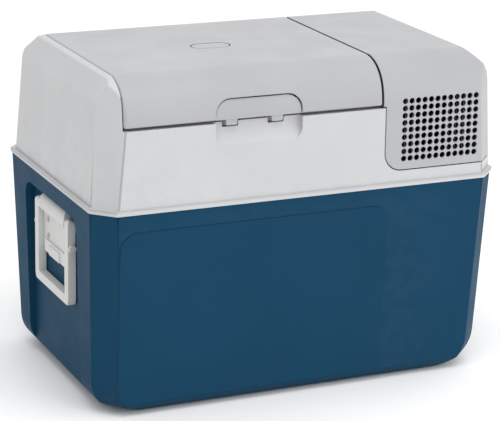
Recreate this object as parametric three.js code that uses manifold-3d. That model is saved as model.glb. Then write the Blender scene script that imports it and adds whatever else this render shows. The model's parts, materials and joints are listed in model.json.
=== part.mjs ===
// Portable compressor cooler fridge: a blue tub under a pale grey upper housing, with a foam-filled
// lid over the cold compartment, a separate cover over the compressor bay at the right end, and a
// folding carrying handle in a recess at each end.
//
// Millimetres. +X runs along the length towards the compressor bay, the front faces -Y, +Z is up.
// The origin is on the floor under the middle of the object's box.

import * as THREE from 'three';
import { mergeGeometries, mergeVertices } from 'three/addons/utils/BufferGeometryUtils.js';
import Module from 'manifold-3d';

const wasm = await Module();
wasm.setup();

// ---------------------------------------------------------------- driving dimensions

const SHELL = 3; // moulded plastic wall
const GAP = 0.4; // clearance between neighbouring pieces
const FAR = 600; // further out than any face, for cutting blocks

// Blue tub: a tapered box with chamfered upright corners
const TUB = {
  topX: 286, topY: 181, footX: 278.5, footY: 167, // half width and half depth, at z = top and z = 0
  base: 2, top: 273.6, corner: 27, floor: 4,
  sideRound: 41, // radius where an end wall turns under the tub
  hemTop: 15, // height at which the front and rear walls start to turn under
};
const PANEL = { left: -255, right: 119, bottom: 15, top: 250, corner: 24, proud: 1.2 };

// Grey upper housing, compressor cover and lid share one outer form, the hood
const FLANGE = { halfX: 287.5, halfY: 182.5, bottom: 274, top: 280 };
const HOOD = {
  bottom: 240, top: 442, footY: 180.5, // the form starts inside the flange
  leftSide: [[-285, 240], [-274.5, 410], [-259, 439.8], [-248, 442]], // front view, X and Z
  rightSide: [[287.5, 240], [277.4, 399], [274, 412], [245.5, 442]],
  // The front face curves back from browY, browZ and meets the top at a crease with a slight angle
  browY: 178, browZ: 384, browDepth: 47, browAngle: 8, browPull: [30, 34],
  rearCrest: 119, rearShoulder: [166, 402], rearBrow: [177.5, 380],
  cornerFoot: [24, 30], cornerTop: [31.2, 39], cornerRight: [27, 29], // chamfers, along X and along Y
};

const DECK = 380; // top of the housing under the lid
const LID = { left: -249.4, right: 105.6, bottom: 383.6, sideGap: 1.2, innerRear: 142 };
const BADGE = { x: [-94, -42], y: [-31, -5], depth: 1.2, corner: 12.6 };
const COVER = { left: 108, seam: 112, bottom: 296, corner: 24 };
const COVER_GAP = 1.4; // seam between the cover and the housing

const COLD = { left: -225, right: 88, front: -138, rear: 128, floor: 44, wall: 1.8, corner: 20 };
const HINGE = { y: 162, z: 397, x: [-190, 50], width: 40, barrel: 8, pin: 2, lidRadius: 13.4 };

const LATCH = {
  left: -128, right: -8, top: 410.5, corner: 20, floor: -160, back: -163.2, pivotY: -167.5, pivotZ: 402,
  sunk: 2.6, // how deep the plate sits in the lid's front face
  sideGap: 1, topGap: 1.8,
};
const LATCH_SPRING = { x: [-76, -60], radius: 2.6, wire: 0.6, turns: 3 };
const TAB = { x: [-105, -42], topWidth: 17, tipWidth: 14, tip: 376, slot: 22, y: [-174.5, -168.5] };
const SCOOP = { bottom: 352, depth: 9, corner: 14 };

const GRILLE = { columns: 12, rows: 9, pitch: 9.56, left: 139.3, top: 386.9, hole: 7.3 };

// Left handle; the right one is the same assembly turned round
const RECESS = { floor: 271.5, halfY: 101, top: 250, corner: 22 };
const HANDLE = {
  pivotX: -278, pivotZ: 231, thick: 11, halfY: 65.5, bottom: 120, bar: 14, pivotBar: 4, corner: 11,
  edge: 2, // bevel along the bars
  stop: { z: 200, radius: 5, proud: 4.5 },
};
const BRACKET = {
  halfY: 50.4, bottom: 166, top: 244, plate: 4, bottomCorner: 8, frontCorner: 18, rearCorner: 4,
  roof: { reach: 12.6, eaves: 226, under: [[9, 222.4], [4, 221]] }, // outwards from the pocket's floor, and Z
  lip: { halfY: 41, top: 183, thick: 6.4 }, tongue: { halfY: 20, top: 179, thick: 8 },
};
const HANDLE_SCREWS = { y: 32, z: [189, 211], hole: 2.3, head: 3.6 };

// Power sockets, low on the rear wall behind the compressor bay
const SOCKETS = { left: 150, right: 240, bottom: 200, top: 240, plateY: 170.4, z: 220 };
const SOCKET_X = { dc: 168, fuse: 193, ac: 222 };

const PARTITION = { x: 104, thick: 2.4 };
const FAN = { x: 191.9, z: 348.7, front: -130, depth: 24, half: 58, bore: 53, blade: 50, hub: 18 };
const CONDENSER = { front: -162, depth: 27, left: 137, right: 247, bottom: 294.4, top: 402, fins: 11 };
const COMPRESSOR = { x: 190, y: 42, radius: 58, bottom: 34, top: 162 };
const BASE_PLATE = { left: 118, right: 252, front: -140, rear: 134, z: 12, thick: 2, cut: 18, rim: 12 };

const COLOURS = {
  grey: 0xc9cacd, coverGrey: 0xbfc0c2, blue: 0x1f4762, handle: 0xcfcfcd, liner: 0xdedfdd,
  rubber: 0x2c2d2f, steel: 0xa9acaf, darkSteel: 0x26282a, copper: 0xb87347, foam: 0xe6ddbf,
  aluminium: 0xb9bcc0, black: 0x1b1c1e, lens: 0x0f1518, board: 0x1d5a3a, clear: 0xf2f4f5,
};

// ---------------------------------------------------------------- shapes

// A run of points on an arc; a second radius makes it part of an ellipse
function arc(u, v, radius, from, to, steps, radiusV = radius) {
  return Array.from({ length: steps + 1 }, (_, i) => {
    const angle = THREE.MathUtils.degToRad(from + ((to - from) * i) / steps);
    return [u + radius * Math.cos(angle), v + radiusV * Math.sin(angle)];
  });
}

function rectangle(left, right, bottom, top) {
  return [[left, bottom], [right, bottom], [right, top], [left, top]];
}

// A rectangle with rounded corners: one radius for the lower pair, one for the upper pair
function rounded(left, right, bottom, top, low, high, steps = 6) {
  const corner = (u, v, radius, from) => (radius ? arc(u, v, radius, from, from + 90, steps) : [[u, v]]);
  return [
    ...corner(left + low, bottom + low, low, 180),
    ...corner(right - low, bottom + low, low, 270),
    ...corner(right - high, top - high, high, 0),
    ...corner(left + high, top - high, high, 90),
  ];
}

// A rectangle with chamfered corners: one chamfer for the left pair, one for the right pair
function chamfered(left, right, halfV, [leftU, leftV], [rightU, rightV] = [leftU, leftV]) {
  return [
    [left + leftU, -halfV], [right - rightU, -halfV], [right, rightV - halfV], [right, halfV - rightV],
    [right - rightU, halfV], [left + leftU, halfV], [left, halfV - leftV], [left, leftV - halfV],
  ];
}

// Moves every side of a convex outline, drawn anticlockwise, inwards by one distance
function inset(outline, distance) {
  const lines = outline.map(([u, v], i) => {
    const [nextU, nextV] = outline[(i + 1) % outline.length];
    const length = Math.hypot(nextU - u, nextV - v);
    const normal = [(v - nextV) / length, (nextU - u) / length];
    return { normal, offset: normal[0] * u + normal[1] * v + distance };
  });
  return lines.map((line, i) => {
    const before = lines[(i + lines.length - 1) % lines.length];
    const [a, b] = before.normal;
    const [c, d] = line.normal;
    const determinant = a * d - b * c;
    return [
      (before.offset * d - b * line.offset) / determinant,
      (a * line.offset - before.offset * c) / determinant,
    ];
  });
}

function solid(geometry) {
  const bare = geometry.clone();
  bare.deleteAttribute('normal');
  bare.deleteAttribute('uv');
  const merged = mergeVertices(bare, 1e-3);
  return new wasm.Manifold(new wasm.Mesh({
    numProp: 3,
    vertProperties: Float32Array.from(merged.attributes.position.array),
    triVerts: Uint32Array.from(merged.index.array),
  }));
}

function extruded(outline, depth) {
  const shape = new THREE.Shape(outline.map(([u, v]) => new THREE.Vector2(u, v)));
  return new THREE.ExtrudeGeometry(shape, { depth, bevelEnabled: false });
}

const vector = (x, y, z) => new THREE.Vector3(x, y, z);
const TURN_TO_X = new THREE.Matrix4().makeBasis(vector(0, 1, 0), vector(0, 0, 1), vector(1, 0, 0));
const TURN_TO_Y = new THREE.Matrix4().makeBasis(vector(1, 0, 0), vector(0, 0, 1), vector(0, -1, 0));

// Prisms: an outline in YZ along X, in XZ along Y, and in XY along Z
const barX = (outline, x0, x1) => extruded(outline, x1 - x0).applyMatrix4(TURN_TO_X).translate(x0, 0, 0);
const barY = (outline, y0, y1) => extruded(outline, y1 - y0).applyMatrix4(TURN_TO_Y).translate(0, y1, 0);
const barZ = (outline, z0, z1) => extruded(outline, z1 - z0).translate(0, 0, z0);
const alongX = (outline, x0, x1) => solid(barX(outline, x0, x1));
const alongY = (outline, y0, y1) => solid(barY(outline, y0, y1));
const alongZ = (outline, z0, z1) => solid(barZ(outline, z0, z1));

const block = (x0, x1, y0, y1, z0, z1) => alongZ(rectangle(x0, x1, y0, y1), z0, z1);

function disc(radius, from, to, axis, u, v, sides = 16) {
  const circle = arc(u, v, radius, 0, 360 - 360 / sides, sides - 1);
  return { x: alongX, y: alongY, z: alongZ }[axis](circle, from, to);
}

// Joins level, convex rings of as many points each, from the lowest up, with straight sides
function loft(rings) {
  const count = rings[0].outline.length;
  const positions = rings.flatMap(({ outline, z }) => outline.flatMap(([x, y]) => [x, y, z]));
  const topStart = (rings.length - 1) * count;
  const index = [];
  for (let start = 0; start < topStart; start += count) {
    for (let i = 0; i < count; i += 1) {
      const low = [start + i, start + ((i + 1) % count)];
      index.push(low[0], low[1], low[1] + count, low[0], low[1] + count, low[0] + count);
    }
  }
  for (let i = 2; i < count; i += 1) {
    index.push(0, i, i - 1, topStart, topStart + i - 1, topStart + i);
  }
  const geometry = new THREE.BufferGeometry();
  geometry.setAttribute('position', new THREE.Float32BufferAttribute(positions, 3));
  geometry.setIndex(index);
  return solid(geometry);
}

function tube(points, radius, steps = 16, sides = 8) {
  const curve = new THREE.CatmullRomCurve3(points.map((point) => vector(...point)));
  const section = new THREE.Shape(arc(0, 0, radius, 0, 360 - 360 / sides, sides - 1)
    .map(([u, v]) => new THREE.Vector2(u, v)));
  return solid(new THREE.ExtrudeGeometry(section, { steps, extrudePath: curve, bevelEnabled: false }));
}

const joined = (...solids) => solids.reduce((sum, next) => sum.add(next));

function toGeometry(manifold) {
  const { vertProperties, triVerts } = manifold.getMesh();
  const geometry = new THREE.BufferGeometry();
  geometry.setAttribute('position', new THREE.BufferAttribute(vertProperties, 3));
  geometry.setIndex(new THREE.BufferAttribute(triVerts, 1));
  geometry.computeVertexNormals();
  return geometry;
}

const fridge = new THREE.Group();

function piece(name, shape, color, { roughness = 0.5, metalness = 0, parent = fridge, at } = {}) {
  const material = new THREE.MeshStandardMaterial({ color, roughness, metalness });
  const mesh = new THREE.Mesh(toGeometry(shape), material);
  mesh.name = name;
  if (at) {
    mesh.position.set(...at);
  }
  parent.add(mesh);
  return mesh;
}

// ---------------------------------------------------------------- outer forms

// The hood's whole outer form, or the same form moved in by a wall
function hood(wall = 0) {
  const { bottom, top, leftSide, rightSide, browY, browZ, browDepth, browAngle, browPull } = HOOD;
  const frontView = [...rightSide, ...leftSide.toReversed()];
  const crease = new THREE.Vector2(browDepth - browY, top);
  const slope = THREE.MathUtils.degToRad(180 + browAngle);
  const brow = new THREE.CubicBezierCurve(
    crease, crease.clone().add(new THREE.Vector2(Math.cos(slope), Math.sin(slope)).multiplyScalar(browPull[0])),
    new THREE.Vector2(-browY, browZ + browPull[1]), new THREE.Vector2(-browY, browZ));
  const sideView = [
    [-HOOD.footY, bottom], [HOOD.footY, bottom], HOOD.rearBrow, HOOD.rearShoulder,
    [HOOD.rearCrest, top], ...brow.getPoints(12).map(({ x, y }) => [x, y]),
  ];
  const reach = (side, z) => THREE.MathUtils.mapLinear(z, side[0][1], side[1][1], side[0][0], side[1][0]);
  const ring = (z, halfY, leftCorner) => ({
    outline: inset(
      chamfered(reach(leftSide, z), reach(rightSide, z), halfY, leftCorner, HOOD.cornerRight), wall),
    z,
  });
  return alongY(inset(frontView, wall), -FAR, FAR)
    .intersect(alongX(inset(sideView, wall), -FAR, FAR))
    .intersect(loft([ring(bottom, HOOD.footY, HOOD.cornerFoot), ring(top, browY, HOOD.cornerTop)]));
}

// The tub's outer form, or the same form moved in by a wall and up by its floor
function tub(wall = 0, floor = wall) {
  const { topX, topY, footX, footY, base, sideRound, hemTop } = TUB;
  const slopeX = (topX - footX) / TUB.top;
  const slopeY = (topY - footY) / TUB.top;
  const radius = sideRound - wall;
  const bottom = base + floor;
  const turnTop = bottom + radius;
  const hemStart = hemTop + (wall * (Math.SQRT2 - 1)) / (1 - slopeY);
  const corner = TUB.corner - wall * (2 - Math.SQRT2);
  const ring = (z) => {
    const turned = radius - Math.sqrt(radius ** 2 - Math.max(0, turnTop - z) ** 2);
    const halfX = footX + slopeX * z - wall - turned;
    const halfY = footY + slopeY * z - wall - Math.max(0, (hemStart - z) * (1 - slopeY));
    return { outline: chamfered(-halfX, halfX, halfY, [corner, corner]), z };
  };
  const turn = arc(0, turnTop, radius, -90, 0, 9).map(([, z]) => z);
  const heights = [...turn, hemStart, TUB.top + 6].sort((a, b) => a - b);
  return loft(heights.map(ring));
}

// The pocket behind a handle, at the left end; the same shape, grown, keeps a wall behind it
function handlePocket(side, grow = 0) {
  const { floor, halfY, top, corner } = RECESS;
  const outline = rounded(-halfY - grow, halfY + grow, -FAR, top + grow, 0, corner);
  return side < 0 ? alongX(outline, -FAR, grow - floor) : alongX(outline, floor - grow, FAR);
}

const handlePockets = (grow) => handlePocket(-1, grow).add(handlePocket(1, grow));

const coldBox = (grow, bottom, top) => alongZ(
  rounded(COLD.left - grow, COLD.right + grow, COLD.front - grow, COLD.rear + grow,
    COLD.corner + grow, COLD.corner + grow), bottom, top);

// ---------------------------------------------------------------- tub

const FEET = [[-205, -115], [-205, 115], [205, -115], [205, 115]];
const FOOT = { radius: 14, height: 3.6, pocket: 2 };

function makeTub() {
  const front = alongY(
    rounded(PANEL.left, PANEL.right, PANEL.bottom, PANEL.top, 0, PANEL.corner), -FAR, 0);
  const panel = tub(-PANEL.proud, 0).intersect(front);
  const outside = tub().add(panel).subtract(handlePockets(0));
  const inside = tub(SHELL, TUB.floor).subtract(handlePockets(SHELL));
  let shell = outside.subtract(inside).intersect(block(-FAR, FAR, -FAR, FAR, 0, TUB.top));
  for (const [x, y] of FEET) {
    shell = shell.subtract(disc(FOOT.radius + 1, 0, TUB.base + FOOT.pocket, 'z', x, y));
  }
  for (let i = 0; i < 6; i += 1) {
    shell = shell.subtract(block(140, 200, -60 + 14 * i, -54 + 14 * i, 0, 20));
  }
  const opening = rounded(SOCKETS.left, SOCKETS.right, SOCKETS.bottom, SOCKETS.top, 6, 6, 2);
  shell = shell.subtract(alongY(opening, 150, FAR));
  const { y, z: heights, hole } = HANDLE_SCREWS;
  for (const z of heights) {
    shell = shell.subtract(disc(hole, -FAR, 0, 'x', y, z, 8)).subtract(disc(hole, 0, FAR, 'x', -y, z, 8));
  }
  return shell;
}

piece('lower_housing', makeTub(), COLOURS.blue, { roughness: 0.42 });

FEET.forEach(([x, y], i) => {
  const foot = disc(FOOT.radius, 0, FOOT.height, 'z', 0, 0, 16);
  piece(`foot_${i + 1}`, foot, COLOURS.rubber, { roughness: 0.9, at: [x, y, 0] });
});

// ---------------------------------------------------------------- upper housing

const scoopOutline = (grow) => rounded(
  LATCH.left - grow, LATCH.right + grow, SCOOP.bottom - grow, FAR, SCOOP.corner, 0);

function makeUpperHousing() {
  const flange = alongZ(
    chamfered(-FLANGE.halfX, FLANGE.halfX, FLANGE.halfY, [TUB.corner, TUB.corner]),
    FLANGE.bottom, FLANGE.top);
  const outside = hood().intersect(block(-FAR, FAR, -FAR, FAR, FLANGE.bottom, FAR)).add(flange);

  const scoopBack = alongY(scoopOutline(SHELL), -FAR, LATCH.floor + SHELL);
  const underDeck = block(-FAR, LID.right + 1, -FAR, FAR, 0, DECK - SHELL).subtract(scoopBack);
  const cheek = block(-FAR, LID.left - LID.sideGap - SHELL, -FAR, FAR, 0, FAR);
  const bay = block(LID.right + 1, FAR, -FAR, FAR, 0, FAR);
  const inside = hood(SHELL).intersect(joined(underDeck, cheek, bay));

  const lidSpace = block(LID.left - LID.sideGap, FAR, -FAR, FAR, DECK, FAR);
  const coverSpace = alongY([
    [COVER.left - 1, FAR], [COVER.left - 1, DECK], [COVER.seam - COVER_GAP, DECK],
    ...arc(COVER.seam + COVER.corner, COVER.bottom + COVER.corner,
      COVER.corner + COVER_GAP, 180, 270, 8),
    [FAR, COVER.bottom - COVER_GAP], [FAR, FAR],
  ], -FAR, FAR);

  const face = -HOOD.browY;
  const scoop = alongX([
    [-FAR, SCOOP.bottom], [face - 1, SCOOP.bottom], [face + 5, SCOOP.bottom + 8],
    [face + SCOOP.depth, SCOOP.bottom + 16], [face + SCOOP.depth, FAR], [-FAR, FAR],
  ], LATCH.left, LATCH.right).intersect(alongY(scoopOutline(0), -FAR, 0));

  let shell = outside.subtract(inside).subtract(lidSpace).subtract(coverSpace).subtract(scoop);
  for (const x of TAB.x) {
    const slot = block(x - TAB.slot / 2, x + TAB.slot / 2, -FAR, LATCH.floor, TAB.tip - 3, FAR);
    shell = shell.subtract(slot);
  }
  return shell.subtract(coldBox(COLD.wall + GAP, 300, FAR));
}

piece('upper_housing', makeUpperHousing(), COLOURS.grey, { roughness: 0.45 });

// ---------------------------------------------------------------- cold compartment

const LINER_LIP = 12;

function makeLiner() {
  const lip = coldBox(LINER_LIP, DECK + GAP, DECK + 2);
  const wall = coldBox(COLD.wall, COLD.floor - COLD.wall, DECK + 1);
  return wall.add(lip).subtract(coldBox(0, COLD.floor, FAR));
}

piece('cold_liner', makeLiner(), COLOURS.liner, { roughness: 0.35 });

const SLEEVE = { bottom: 120, top: 330, thick: 1.2 };
const sleeveInner = COLD.wall + GAP;
piece('evaporator_sleeve',
  coldBox(sleeveInner + SLEEVE.thick, SLEEVE.bottom, SLEEVE.top)
    .subtract(coldBox(sleeveInner, SLEEVE.bottom - 1, SLEEVE.top + 1)),
  COLOURS.aluminium, { roughness: 0.35, metalness: 0.9 });

const SENSOR = { y: [-14, 14], z: [210, 218], x: COLD.right + sleeveInner + SLEEVE.thick + GAP };
piece('temperature_sensor', block(SENSOR.x, SENSOR.x + 5, ...SENSOR.y, ...SENSOR.z),
  COLOURS.copper, { roughness: 0.4, metalness: 0.8 });

function makeFoam() {
  const clear = SHELL + GAP;
  const lower = tub(clear, TUB.floor + GAP).subtract(handlePockets(clear))
    .intersect(block(-FAR, PARTITION.x - GAP, -FAR, FAR, 0, TUB.top - GAP));
  const deckUnder = DECK - clear;
  const upper = hood(clear).intersect(
    block(-FAR, PARTITION.x - GAP, -FAR, FAR, FLANGE.bottom - 2, deckUnder)
      .add(block(-FAR, LID.left - LID.sideGap - clear, -FAR, FAR, deckUnder - 1, FAR)));
  const scoopBack = alongY(scoopOutline(clear), -FAR, LATCH.floor + clear);
  const sensorPocket = block(0, SENSOR.x + 5 + GAP, SENSOR.y[0] - 1, SENSOR.y[1] + 1,
    SENSOR.z[0] - 1, SENSOR.z[1] + 1);
  return lower.add(upper).subtract(scoopBack).subtract(sensorPocket)
    .subtract(coldBox(sleeveInner + SLEEVE.thick + GAP, COLD.floor - COLD.wall - GAP, FAR));
}

piece('cabinet_foam', makeFoam(), COLOURS.foam, { roughness: 0.95 });

const LIGHT = { y: [-22, 22], z: [342, 356], thick: 3 };
piece('compartment_light',
  block(COLD.right - GAP - LIGHT.thick, COLD.right - GAP, ...LIGHT.y, ...LIGHT.z),
  COLOURS.clear, { roughness: 0.2 });

// ---------------------------------------------------------------- lid

// The lid's own side outline: its rear edge is round about the hinge axis
function lidRegion(wall = 0) {
  const radius = HINGE.lidRadius - wall;
  const rear = arc(HINGE.y, HINGE.z, radius, -90, 20, 6);
  const under = wall
    ? [[-FAR, 0], [LID.innerRear, 0], [LID.innerRear, HINGE.z - radius]]
    : [[-FAR, LID.bottom]];
  const outline = [...under, ...rear, [HINGE.y, FAR], [-FAR, FAR]];
  return alongX(outline, LID.left + wall, LID.right - wall);
}

const hingeNotches = (grow) => joined(...HINGE.x.map((x) => block(
  x - HINGE.width / 2 - grow, x + HINGE.width / 2 + grow, HINGE.y - 17 - Math.min(grow, SHELL), FAR,
  0, FAR)));

// The latch's pocket; the grown block keeps solid plastic round it and round the pin's ends
const latchPocket = (grow, floor) => alongY(
  rounded(LATCH.left - grow, LATCH.right + grow, 300, LATCH.top + grow, 0, grow ? 0 : LATCH.corner),
  -FAR, floor);

const PIN_REACH = 6.5; // how far each end of a hinge pin goes into the lid
const LATCH_PIN_REACH = 3;

function makeLidShell() {
  let shell = hood().intersect(lidRegion()).subtract(hingeNotches(0));
  const cavity = hood(SHELL).intersect(lidRegion(SHELL))
    .subtract(hingeNotches(PIN_REACH + 1.5)).subtract(latchPocket(LATCH_PIN_REACH + 2, LATCH.floor + SHELL));
  shell = shell.subtract(cavity).subtract(latchPocket(0, LATCH.floor));
  for (const x of HINGE.x) {
    const half = HINGE.width / 2 + PIN_REACH + GAP;
    shell = shell.subtract(disc(HINGE.pin + GAP, x - half, x + half, 'x', HINGE.y, HINGE.z, 12));
  }
  const pinHole = disc(1.9, LATCH.left - LATCH_PIN_REACH - GAP, LATCH.right + LATCH_PIN_REACH + GAP, 'x',
    LATCH.pivotY, LATCH.pivotZ, 8);
  const { x: badgeX, y: badgeY, corner } = BADGE;
  const badgePocket = alongZ(rounded(badgeX[0] - GAP, badgeX[1] + GAP, badgeY[0] - GAP, badgeY[1] + GAP,
    corner + GAP, corner + GAP), HOOD.top - BADGE.depth, FAR);
  return shell.subtract(pinHole).subtract(badgePocket);
}

piece('lid_shell', makeLidShell(), COLOURS.coverGrey, { roughness: 0.45 });

piece('lid_badge',
  alongZ(rounded(...BADGE.x, ...BADGE.y, BADGE.corner, BADGE.corner), HOOD.top - BADGE.depth + GAP, HOOD.top - 0.1),
  COLOURS.coverGrey, { roughness: 0.45 });

const LID_PAN = {
  plate: [386.6, 389.2], x: [-245.6, 101.8], y: [-156, 141.4], plugBottom: 374, plugGrow: -6, wall: 2.4,
};

function makeLidPan() {
  const plate = alongZ(rounded(...LID_PAN.x, ...LID_PAN.y, 12, 12), ...LID_PAN.plate);
  const plug = coldBox(LID_PAN.plugGrow, LID_PAN.plugBottom, LID_PAN.plate[0] + 1);
  const hollow = coldBox(LID_PAN.plugGrow - LID_PAN.wall, LID_PAN.plugBottom + LID_PAN.wall, FAR);
  return plate.add(plug).subtract(hollow);
}

piece('lid_liner', makeLidPan(), COLOURS.liner, { roughness: 0.35 });

function makeLidFoam() {
  const clear = SHELL + GAP;
  const bulk = hood(clear).intersect(lidRegion(clear))
    .intersect(block(-FAR, FAR, -FAR, HINGE.y - 20, LID_PAN.plate[1] + GAP, FAR))
    .subtract(hingeNotches(PIN_REACH + 1.5 + GAP))
    .subtract(latchPocket(LATCH_PIN_REACH + 2 + GAP, LATCH.floor + clear));
  const plug = coldBox(LID_PAN.plugGrow - LID_PAN.wall - GAP, LID_PAN.plugBottom + LID_PAN.wall + GAP,
    LID_PAN.plate[1] + 2);
  return bulk.add(plug);
}

piece('lid_foam', makeLidFoam(), COLOURS.foam, { roughness: 0.95 });

const SEAL = { inner: 2.5, outer: 10.5, bottom: DECK + 2.4, top: LID_PAN.plate[0] - GAP };
piece('lid_seal',
  coldBox(SEAL.outer, SEAL.bottom, SEAL.top).subtract(coldBox(SEAL.inner, 0, FAR)),
  COLOURS.rubber, { roughness: 0.85 });

HINGE.x.forEach((x, i) => {
  const side = ['left', 'right'][i];
  const half = HINGE.width / 2 - 0.7;
  const eye = disc(HINGE.barrel, -half, half, 'x', 0, 0);
  const foot = DECK + GAP - HINGE.z;
  const leg = block(-half, half, -6, 6, foot, 0);
  const base = block(-half, half, -9, 10, foot, foot + 3);
  const bracket = joined(eye, leg, base).subtract(disc(HINGE.pin + GAP, -FAR, FAR, 'x', 0, 0, 12));
  const at = [x, HINGE.y, HINGE.z];
  piece(`lid_hinge_${side}`, bracket, COLOURS.coverGrey, { roughness: 0.5, at });
  const pinHalf = HINGE.width / 2 + PIN_REACH;
  piece(`hinge_pin_${side}`, disc(HINGE.pin, -pinHalf, pinHalf, 'x', 0, 0, 12), COLOURS.steel,
    { roughness: 0.3, metalness: 0.9, at });
});

// ---------------------------------------------------------------- latch

function makeLatch() {
  const { sideGap, topGap } = LATCH;
  const outline = rounded(LATCH.left + sideGap, LATCH.right - sideGap, LID.bottom, LATCH.top - topGap, 0,
    LATCH.corner);
  const front = hood().translate([0, LATCH.sunk, 0]);
  let latch = front.intersect(alongY(outline, -FAR, LATCH.back));
  for (const x of TAB.x) {
    const half = [TAB.tipWidth / 2, TAB.topWidth / 2];
    const tab = alongY([
      [x - half[0], TAB.tip], [x + half[0], TAB.tip], [x + half[1], LID.bottom + 2],
      [x - half[1], LID.bottom + 2],
    ], ...TAB.y);
    latch = latch.add(tab);
  }
  const [springLeft, springRight] = LATCH_SPRING.x;
  return latch
    .subtract(disc(1.9, -FAR, FAR, 'x', LATCH.pivotY, LATCH.pivotZ, 8))
    .subtract(block(springLeft - 1, springRight + 1, LATCH.pivotY - 3.7, 0, LATCH.pivotZ - 5, FAR));
}

piece('lid_latch', makeLatch(), COLOURS.coverGrey, { roughness: 0.42 });

piece('latch_pin',
  disc(1.5, LATCH.left - LATCH_PIN_REACH, LATCH.right + LATCH_PIN_REACH, 'x', LATCH.pivotY,
    LATCH.pivotZ, 8),
  COLOURS.steel, { roughness: 0.3, metalness: 0.9 });

function makeLatchSpring() {
  const { x, radius, turns, wire } = LATCH_SPRING;
  const count = turns * 8;
  const coil = Array.from({ length: count + 1 }, (_, i) => {
    const angle = (Math.PI / 4) * i;
    const along = THREE.MathUtils.lerp(x[0] + 1, x[1] - 1, i / count);
    return [along, LATCH.pivotY + radius * Math.cos(angle), LATCH.pivotZ + radius * Math.sin(angle)];
  });
  return tube(coil, wire, count, 5);
}

piece('latch_spring', makeLatchSpring(), COLOURS.steel, { roughness: 0.35, metalness: 0.9 });

// ---------------------------------------------------------------- compressor cover

// Control panel: flush in the cover's sloping right edge
const [panelLow, panelHigh] = HOOD.rightSide.slice(-2);
const CONTROL = { halfX: 17, halfY: 60, y: -10, thick: 2, button: 5.2, travel: 1.2 };
const panelGroup = new THREE.Group();
panelGroup.position.set((panelLow[0] + panelHigh[0]) / 2, CONTROL.y, (panelLow[1] + panelHigh[1]) / 2);
panelGroup.rotation.y = Math.atan2(panelHigh[1] - panelLow[1], panelLow[0] - panelHigh[0]);
panelGroup.updateMatrix();
fridge.add(panelGroup);

function turnedBlock(x0, x1, y0, y1, z0, z1) {
  return solid(barZ(rectangle(x0, x1, y0, y1), z0, z1).applyMatrix4(panelGroup.matrix));
}

function makeCover() {
  const region = (grow) => alongY([
    [COVER.left + grow, FAR], [COVER.left + grow, DECK + 2], [COVER.seam + grow, DECK + 2],
    ...(grow ? [[COVER.seam + grow, 0], [FAR, 0]]
      : [...arc(COVER.seam + COVER.corner, COVER.bottom + COVER.corner, COVER.corner, 180, 270, 8),
        [FAR, COVER.bottom]]),
    [FAR, FAR],
  ], -FAR, FAR);
  const shell = hood().intersect(region(0)).subtract(hood(SHELL).intersect(region(SHELL)));

  const holes = [];
  for (let column = 0; column < GRILLE.columns; column += 1) {
    for (let row = 0; row < GRILLE.rows; row += 1) {
      const x = GRILLE.left + column * GRILLE.pitch;
      const z = GRILLE.top - row * GRILLE.pitch;
      const circle = arc(x, z, GRILLE.hole / 2, 22.5, 337.5, 7);
      holes.push(barY(circle, -HOOD.browY - 8, -HOOD.browY + 12));
    }
  }
  const slots = [];
  for (let i = 0; i < 9; i += 1) {
    const z = COVER.bottom + 18 + 8 * i;
    slots.push(barY(rectangle(145, 240, z, z + 4), 160, FAR));
  }
  const { halfX, halfY } = CONTROL;
  return shell
    .subtract(solid(mergeGeometries(holes)))
    .subtract(solid(mergeGeometries(slots)))
    .subtract(turnedBlock(-halfX - GAP, halfX + GAP, -halfY - GAP, halfY + GAP, -1.6, 20))
    .subtract(turnedBlock(4 - halfX, halfX - 4, 4 - halfY, halfY - 4, -10, 1));
}

piece('compressor_cover', makeCover(), COLOURS.coverGrey, { roughness: 0.48 });

const BUTTONS = [['button_power', 44], ['button_minus', 22], ['button_plus', 4]];
const LENS = { x: [-9, 9], y: [-48, -10] };

function makeControlPanel() {
  const { halfX, halfY, thick, button } = CONTROL;
  let panel = alongZ(rounded(-halfX, halfX, -halfY, halfY, 5, 5), -1.2, thick - 1.2);
  for (const [, y] of BUTTONS) {
    panel = panel.subtract(disc(button + GAP, -5, 5, 'z', 0, y, 12));
  }
  return panel.subtract(block(LENS.x[0] - GAP, LENS.x[1] + GAP, LENS.y[0] - GAP, LENS.y[1] + GAP, -5, 5));
}

const onPanel = { parent: panelGroup };
piece('control_panel', makeControlPanel(), COLOURS.black, { roughness: 0.35, ...onPanel });
piece('display_lens', block(...LENS.x, ...LENS.y, -1.2, 0.6), COLOURS.lens, { roughness: 0.12, ...onPanel });
piece('control_board', block(3.5 - CONTROL.halfX + 3, CONTROL.halfX - 6.5, -54, 54, -8.4, -6.8),
  COLOURS.board, { roughness: 0.6, ...onPanel });
for (const [name, y] of BUTTONS) {
  piece(name, disc(CONTROL.button, -4, 1.8, 'z', 0, 0, 12), COLOURS.coverGrey,
    { roughness: 0.5, ...onPanel, at: [0, y, 0] });
}

// ---------------------------------------------------------------- compressor bay

const SUCTION = { y: 60, z: 282 };

function makePartition() {
  const clear = SHELL + GAP;
  const lower = tub(clear, TUB.floor + GAP).intersect(block(-FAR, FAR, -FAR, FAR, 0, TUB.top - GAP));
  const upper = hood(clear).intersect(block(-FAR, FAR, -FAR, FAR, FLANGE.bottom - 2, DECK - clear));
  return lower.add(upper)
    .intersect(block(PARTITION.x, PARTITION.x + PARTITION.thick, -FAR, FAR, 0, FAR))
    .subtract(disc(5, 100, 115, 'x', SUCTION.y, SUCTION.z, 10));
}

piece('bay_partition', makePartition(), COLOURS.coverGrey, { roughness: 0.6 });

const GROMMETS = [[-50, -50], [50, -50], [50, 50], [-50, 50]].map(
  ([x, y]) => [COMPRESSOR.x + x, COMPRESSOR.y + y]);
const plateTop = BASE_PLATE.z + BASE_PLATE.thick;
const springTop = COMPRESSOR.bottom - 6;

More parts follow.
